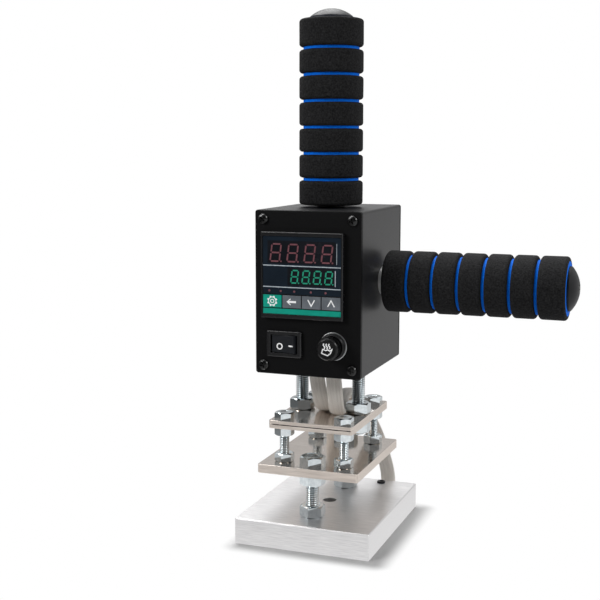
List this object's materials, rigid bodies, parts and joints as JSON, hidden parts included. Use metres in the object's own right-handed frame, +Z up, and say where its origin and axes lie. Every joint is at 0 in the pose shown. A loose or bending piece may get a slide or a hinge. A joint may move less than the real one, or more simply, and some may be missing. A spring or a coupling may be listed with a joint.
{
  "type": "hand-held hot embossing press",
  "caption": "Electric embossing press: heated base block under stacked bolted plates, a control box with display, rocker switch and push button, and foam grips on its top and side.",
  "frame": {"origin": "centre of the base block's underside, on the axis of its die bolt hole", "axes": "+Z up through the top grip, +X towards the side grip, -Y out of the control panel"},
  "size_m": [0.182, 0.1127, 0.3017],
  "materials": {
    "aluminium_block": "brushed",
    "plate_steel": "brushed nickel",
    "zinc_steel": "zinc plated",
    "black_case": "satin black",
    "black_plastic": "matte",
    "gloss_black": "gloss",
    "display_lens": "gloss",
    "label_green": "gloss",
    "key_grey": "matte",
    "sleeve": "braided glass fibre",
    "foam_black": "foam",
    "foam_blue": "foam",
    "insulation": "matte",
    "black_steel": "black oxide",
    "white_print": "screen print",
    "pale_line": "screen print",
    "red_segment": "unlit display segment",
    "green_segment": "display segment"
  },
  "bodies": {
    "press": {"backing_tray": "plate_steel", "base_block": "aluminium_block", "button_collar": "black_plastic", "button_nut": "black_plastic", "button_ring": "zinc_steel", "cable_grommet": "black_plastic", "controller_bezel": "black_plastic", "controller_case": "black_plastic", "controller_clamp": "black_plastic", "controller_stripe": "label_green", "controller_window": "display_lens", "corner_bolts": "zinc_steel", "corner_clamp_nuts": "zinc_steel", "corner_lower_nuts": "zinc_steel", "front_panel": "black_case", "grip_nuts": "zinc_steel", "heat_probe": "zinc_steel", "heater_cartridge": "zinc_steel", "housing_shell": "black_case", "insulation_sheet": "insulation", "lead_heater": "sleeve", "lead_probe": "sleeve", "lower_plate": "plate_steel", "main_base_nuts": "zinc_steel", "main_bolts": "zinc_steel", "main_plate_nuts": "zinc_steel", "mount_plate": "zinc_steel", "power_gland": "black_plastic", "power_relay": "black_plastic", "rear_panel": "black_case", "riser_studs": "zinc_steel", "riser_top_nuts": "zinc_steel", "riser_under_nuts": "zinc_steel", "rocker_frame": "black_plastic", "rocker_terminals": "zinc_steel", "set_screw": "black_steel", "side_grip_bar": "aluminium_block", "side_grip_cap": "gloss_black", "side_grip_core": "foam_blue", "side_grip_rings": "foam_black", "side_grip_spigot": "zinc_steel", "top_grip_bar": "aluminium_block", "top_grip_cap": "gloss_black", "top_grip_core": "foam_blue", "top_grip_rings": "foam_black", "top_grip_spigot": "zinc_steel", "upper_plate": "plate_steel"},
    "rocker": {"rocker_key": "gloss_black"},
    "button": {"button_cap": "black_plastic"},
    "menu_key": {"key_menu": "label_green"},
    "shift_key": {"key_shift": "key_grey"},
    "down_key": {"key_down": "key_grey"},
    "up_key": {"key_up": "key_grey"}
  },
  "joints": [
    {"name": "rocker_rock", "type": "hinge", "parent": "press", "child": "rocker", "pos_m": [-0.0133, -0.0379, 0.1157], "axis": [0, 0, 1], "range_deg": [0, 18]},
    {"name": "button_push", "type": "slide", "parent": "press", "child": "button", "axis": [0, 1, 0], "range_m": [0, 0.003], "stiffness_N_per_m": 400, "springref_m": -0.001},
    {"name": "menu_key_press", "type": "slide", "parent": "press", "child": "menu_key", "axis": [0, 1, 0], "range_m": [0, 0.0003], "stiffness_N_per_m": 1500, "springref_m": -0.0002},
    {"name": "shift_key_press", "type": "slide", "parent": "press", "child": "shift_key", "axis": [0, 1, 0], "range_m": [0, 0.0003], "stiffness_N_per_m": 1500, "springref_m": -0.0002},
    {"name": "down_key_press", "type": "slide", "parent": "press", "child": "down_key", "axis": [0, 1, 0], "range_m": [0, 0.0003], "stiffness_N_per_m": 1500, "springref_m": -0.0002},
    {"name": "up_key_press", "type": "slide", "parent": "press", "child": "up_key", "axis": [0, 1, 0], "range_m": [0, 0.0003], "stiffness_N_per_m": 1500, "springref_m": -0.0002}
  ]
}
